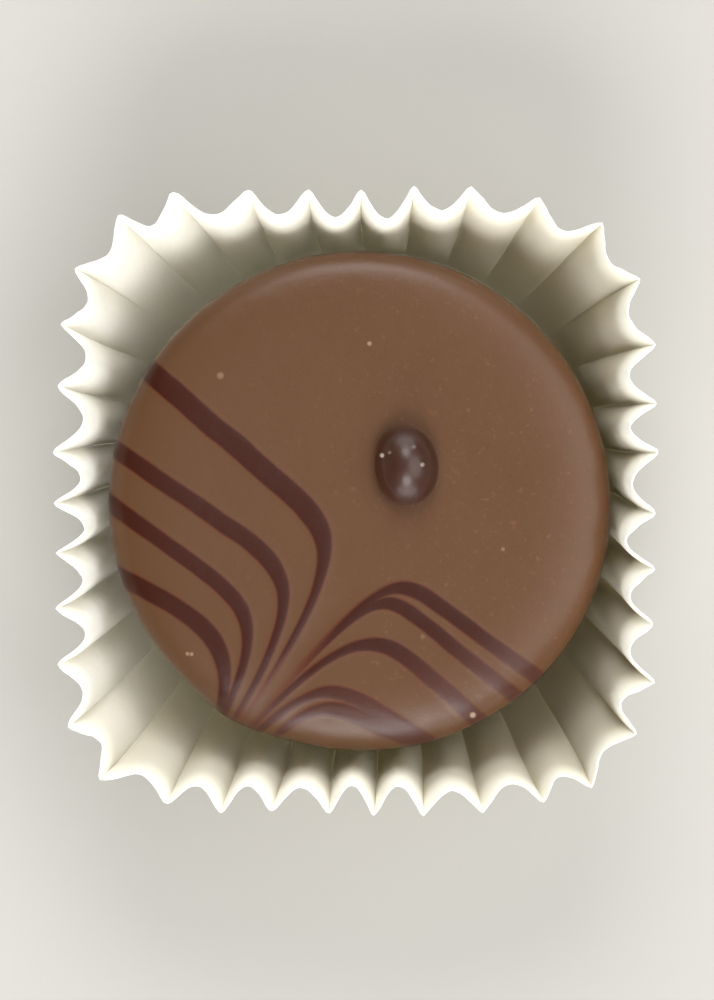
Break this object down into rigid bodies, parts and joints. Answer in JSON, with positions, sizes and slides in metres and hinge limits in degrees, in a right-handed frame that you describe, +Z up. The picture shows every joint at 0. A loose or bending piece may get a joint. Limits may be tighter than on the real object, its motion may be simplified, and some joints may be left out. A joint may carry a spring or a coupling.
{
  "type": "chocolate truffle",
  "caption": "Round, flat-topped milk chocolate truffle with feathered dark lines and a dark chocolate pearl, standing in a fluted white paper case.",
  "frame": {"origin": "middle of the case's underside, on the surface it stands on", "axes": "+Z up out of the case; the lines are dragged towards -X -Y, and the pearl lies towards +X +Y"},
  "size_m": [0.0346, 0.0362, 0.0179],
  "materials": {
    "milk_chocolate": "satin milk chocolate with darker feathered lines",
    "dark_chocolate": "soft-gloss dark chocolate",
    "case_paper": "matt uncoated white paper"
  },
  "bodies": {
    "root": {"truffle": "milk_chocolate", "pearl": "dark_chocolate", "paper_case": "case_paper"}
  },
  "joints": []
}
